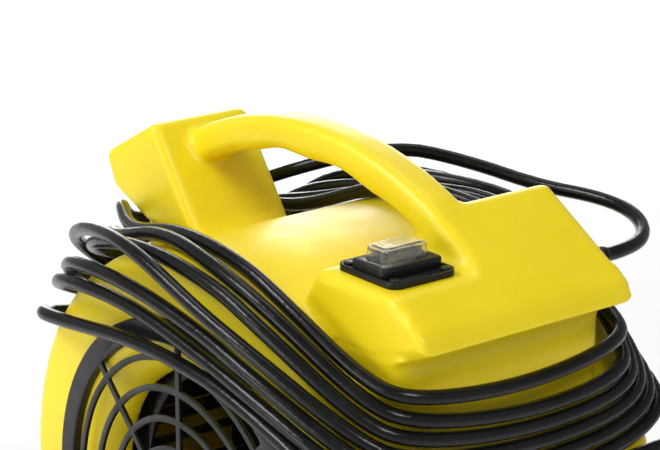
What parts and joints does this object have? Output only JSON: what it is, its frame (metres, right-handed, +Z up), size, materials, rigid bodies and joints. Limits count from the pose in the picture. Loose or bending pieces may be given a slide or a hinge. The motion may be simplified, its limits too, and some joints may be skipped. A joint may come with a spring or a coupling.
{
  "type": "carpet drying blower",
  "caption": "Snail-shaped floor blower in a moulded yellow housing with round inlet grilles, a bowed carrying handle, a booted rocker switch and a mains cord wound round its neck.",
  "frame": {"origin": "on the floor, under the fan axis and midway between the two side walls", "axes": "+X towards the air outlet, +Y towards the motor side, +Z up"},
  "size_m": [0.452, 0.3471, 0.4843],
  "materials": {
    "yellow_plastic": "satin moulded polyethylene with a fine orange-peel skin",
    "black_plastic": "moulded satin black",
    "rocker_plastic": "polished black",
    "clear_boot": "clear soft moulding",
    "black_rubber": "matt rubber with a soft sheen",
    "zinc_steel": "zinc plated",
    "motor_paint": "black paint",
    "cast_aluminium": "die cast",
    "core_steel": "stacked sheet steel",
    "copper_winding": "varnished copper wire",
    "capacitor_case": "pale plastic can",
    "plug_brass": "bare brass"
  },
  "bodies": {
    "blower": {"housing": "yellow_plastic", "inlet_grille_near": "black_plastic", "inlet_grille_far": "black_plastic", "outlet_grille": "black_plastic", "switch_plate": "black_plastic", "switch_body": "black_plastic", "switch_frame": "black_plastic", "cord_gland": "black_plastic", "switch_boot": "clear_boot", "rubber_feet": "black_rubber", "cord_lead": "black_rubber", "cord_winding": "black_rubber", "cord_tail": "black_rubber", "supply_lead": "black_rubber", "plug_body": "black_rubber", "grille_screws_near": "zinc_steel", "grille_screws_far": "zinc_steel", "foot_screws": "zinc_steel", "bracket_bolts": "zinc_steel", "motor_bolts": "zinc_steel", "motor_cap_screws": "zinc_steel", "switch_screws": "zinc_steel", "rocker_pin": "zinc_steel", "capacitor_clip": "zinc_steel", "motor_bracket": "zinc_steel", "motor_bearing_drive": "zinc_steel", "motor_bearing_rear": "zinc_steel", "motor_shell": "motor_paint", "motor_drive_cap": "cast_aluminium", "motor_rear_cap": "cast_aluminium", "stator_core": "core_steel", "stator_windings": "copper_winding", "run_capacitor": "capacitor_case", "plug_pins": "plug_brass", "switch_terminals": "plug_brass"},
    "fan": {"motor_shaft": "zinc_steel", "rotor_core": "core_steel", "impeller": "black_plastic", "impeller_hub": "black_plastic", "hub_set_screw": "zinc_steel", "hub_rivets": "zinc_steel"},
    "rocker": {"switch_rocker": "rocker_plastic"}
  },
  "joints": [
    {"name": "fan_spin", "type": "hinge", "parent": "blower", "child": "fan", "pos_m": [0, 0, 0.22], "axis": [0, 1, 0], "continuous": true},
    {"name": "rocker_tilt", "type": "hinge", "parent": "blower", "child": "rocker", "pos_m": [0.1275, -0.052, 0.4255], "axis": [1, 0, 0], "range_deg": [-18, 0]}
  ]
}
